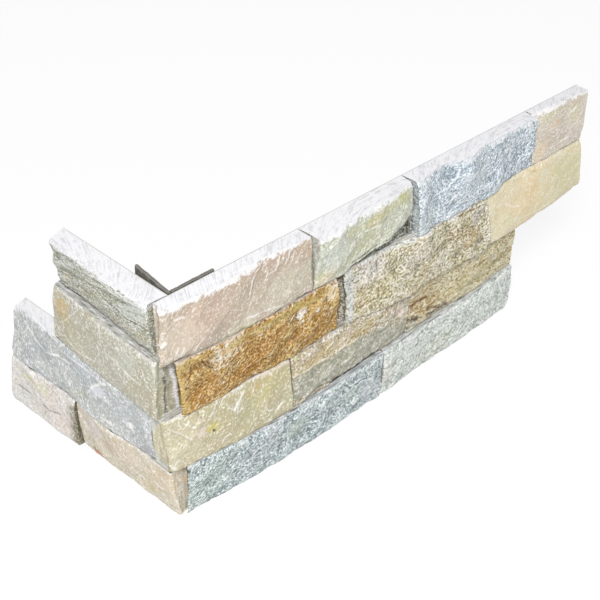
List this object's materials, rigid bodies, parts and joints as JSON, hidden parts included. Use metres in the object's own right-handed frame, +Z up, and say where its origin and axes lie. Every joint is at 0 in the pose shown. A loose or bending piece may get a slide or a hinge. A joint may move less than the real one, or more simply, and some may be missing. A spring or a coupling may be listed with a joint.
{
  "type": "stone cladding corner piece",
  "caption": "L-shaped outside-corner piece of split-face stone strips in staggered rows, toothed at the corner, with flat sawn backs that bed against a wall corner.",
  "frame": {"origin": "on the flat underside of the corner stone, 6 mm in front of both sawn back planes", "axes": "+X along the long wing, +Y along the short wing, towards the wall; +Z up. The split faces look along -Y and -X"},
  "size_m": [0.386, 0.1693, 0.1554],
  "materials": {
    "pink_corner_stone": "split face, pinkish beige quartzite",
    "arched_cream_stone": "split face, greenish cream quartzite",
    "slate_blue_stone": "split face, speckled blue-grey quartzite",
    "rose_end_stone": "smooth split face, pinkish cream",
    "rust_stone": "split face, rust brown with ochre",
    "buff_grain_stone": "coarse split face, buff and grey grain",
    "smooth_cream_stone": "smooth split face, warm cream",
    "pale_corner_stone": "split face, pale yellow cream",
    "banded_stone": "split face, tan above and grey-olive below",
    "brown_layered_stone": "layered split face, ochre brown",
    "dark_slate_stone": "split face, speckled blue-grey",
    "pale_granular_stone": "granular split face, pale grey-green",
    "olive_ridged_stone": "ridged split face, grey-green",
    "beige_corner_stone": "split face, beige with tan patches",
    "grey_slate_stone": "split face, pale blue-grey slate",
    "cream_corner_stone": "split face, cream pink with rust spots",
    "white_block_stone": "split face, pinkish white",
    "left_backing_slip": "thin dark slate, sawn",
    "right_backing_slip": "thin dark slate, sawn"
  },
  "bodies": {
    "root": {"pink_corner_stone": "pink_corner_stone", "arched_cream_stone": "arched_cream_stone", "slate_blue_stone": "slate_blue_stone", "rose_end_stone": "rose_end_stone", "rust_stone": "rust_stone", "buff_grain_stone": "buff_grain_stone", "smooth_cream_stone": "smooth_cream_stone", "pale_corner_stone": "pale_corner_stone", "banded_stone": "banded_stone", "brown_layered_stone": "brown_layered_stone", "dark_slate_stone": "dark_slate_stone", "pale_granular_stone": "pale_granular_stone", "olive_ridged_stone": "olive_ridged_stone", "beige_corner_stone": "beige_corner_stone", "grey_slate_stone": "grey_slate_stone", "cream_corner_stone": "cream_corner_stone", "white_block_stone": "white_block_stone", "left_backing_slip": "left_backing_slip", "right_backing_slip": "right_backing_slip"}
  },
  "joints": []
}
